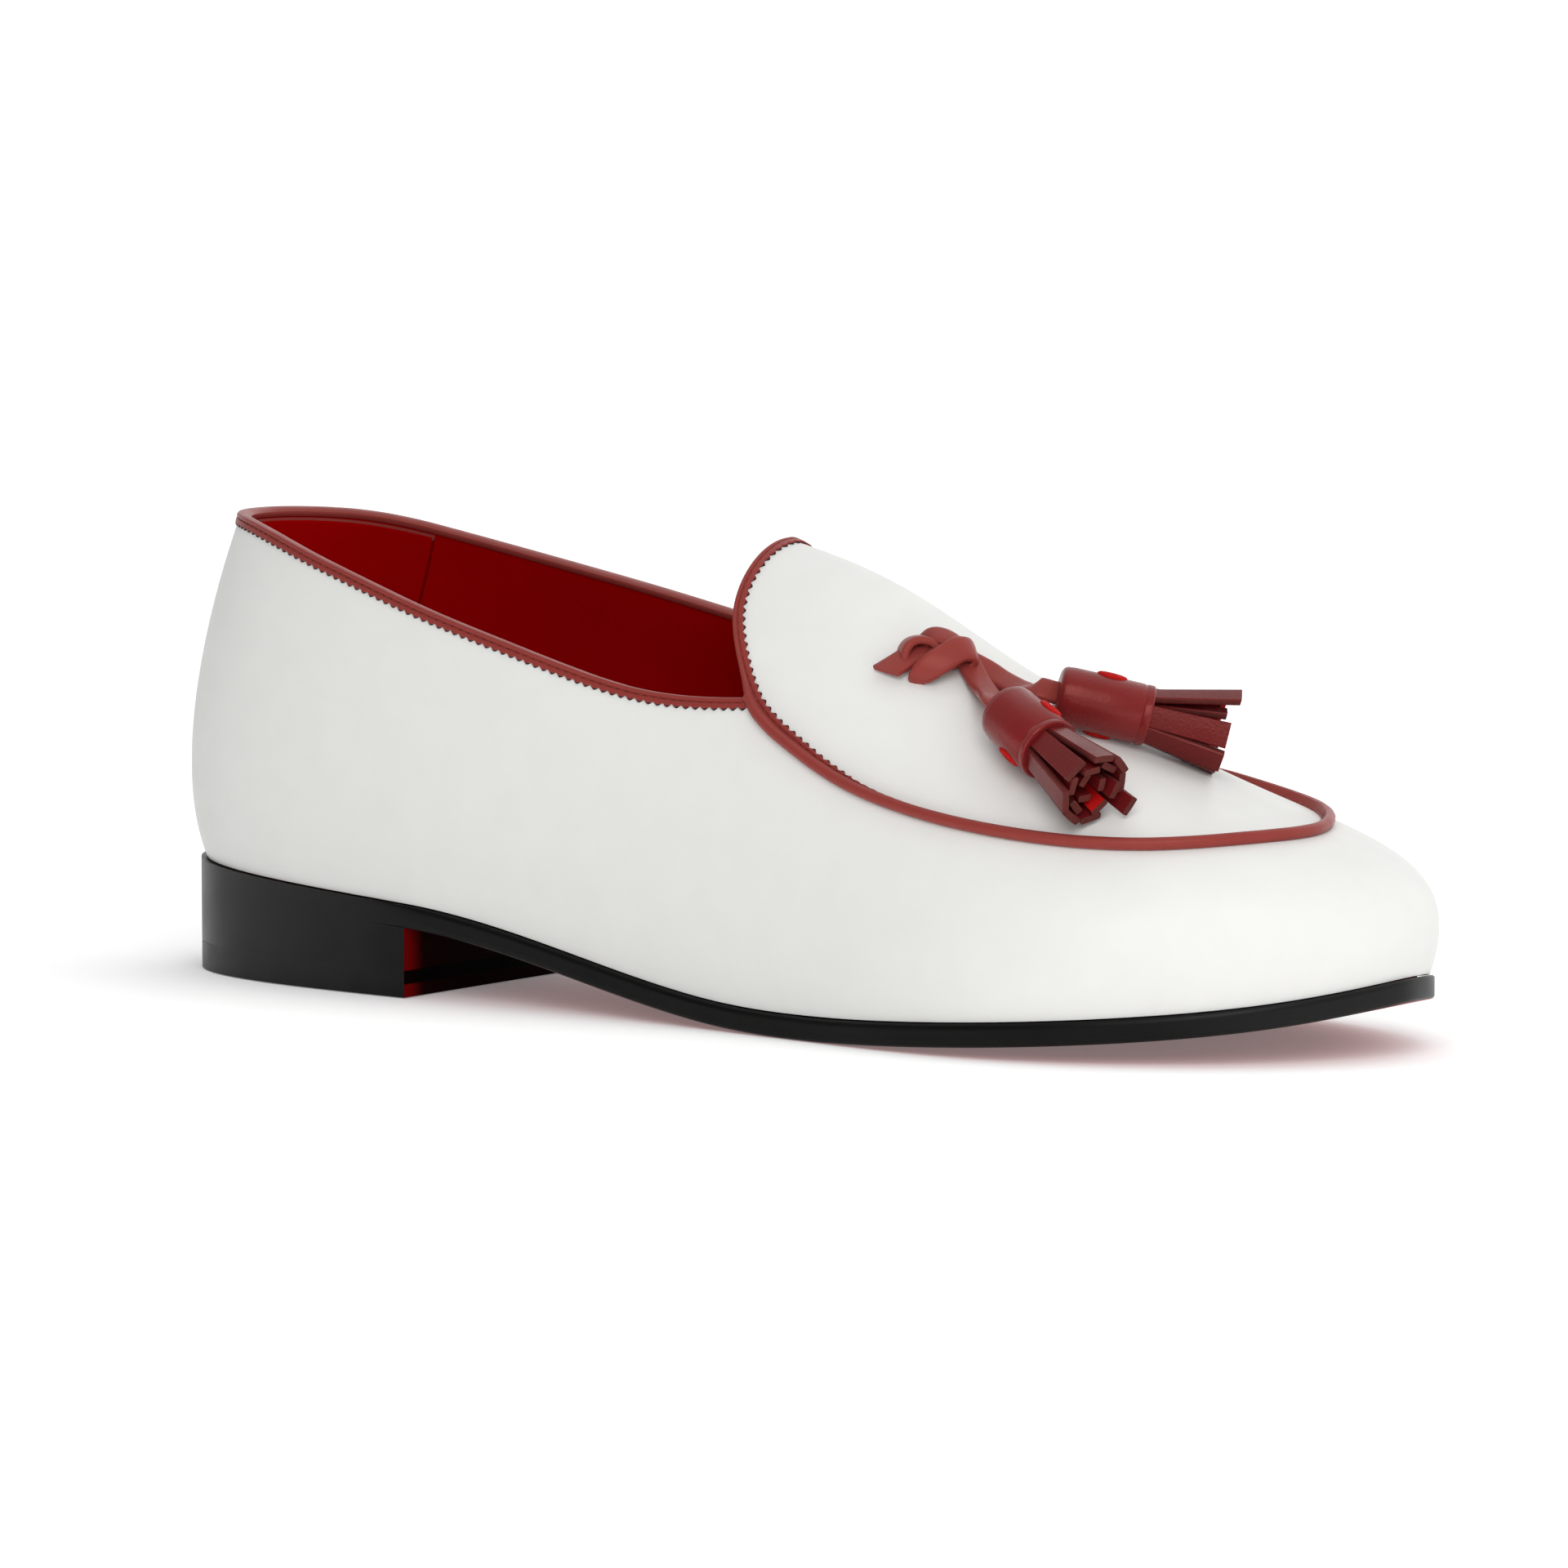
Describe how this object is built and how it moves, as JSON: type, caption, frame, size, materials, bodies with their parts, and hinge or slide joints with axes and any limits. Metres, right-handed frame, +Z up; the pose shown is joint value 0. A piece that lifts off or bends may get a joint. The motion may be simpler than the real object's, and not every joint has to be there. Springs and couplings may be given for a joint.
{
  "type": "belgian loafer",
  "caption": "Right slip-on loafer with a bound topline, an oval plug with a corded seam, a knotted thong with fringed tassels, a thin sole and a low stacked heel.",
  "frame": {"origin": "on the floor under the middle of the shoe's box", "axes": "+X towards the toe, +Y towards the inner (medial) side of the foot, +Z up"},
  "size_m": [0.2984, 0.0956, 0.0987],
  "materials": {
    "upper_leather": "smooth white calf with a soft sheen",
    "lining_leather": "deep red lining leather",
    "sole_leather": "black polished edge, red underside",
    "heel_leather": "black polished stacked leather, red breast",
    "heel_rubber": "black rubber",
    "trim_leather": "dusty red binding leather",
    "tassel_leather": "dark red tassel leather"
  },
  "bodies": {
    "root": {"upper": "upper_leather", "insole": "lining_leather", "outsole": "sole_leather", "heel_stack": "heel_leather", "heel_toplift": "heel_rubber", "topline_binding": "trim_leather", "tongue_binding": "trim_leather", "plug_welt": "trim_leather", "thong": "trim_leather", "tassel_lateral": "tassel_leather", "tassel_medial": "tassel_leather"}
  },
  "joints": []
}
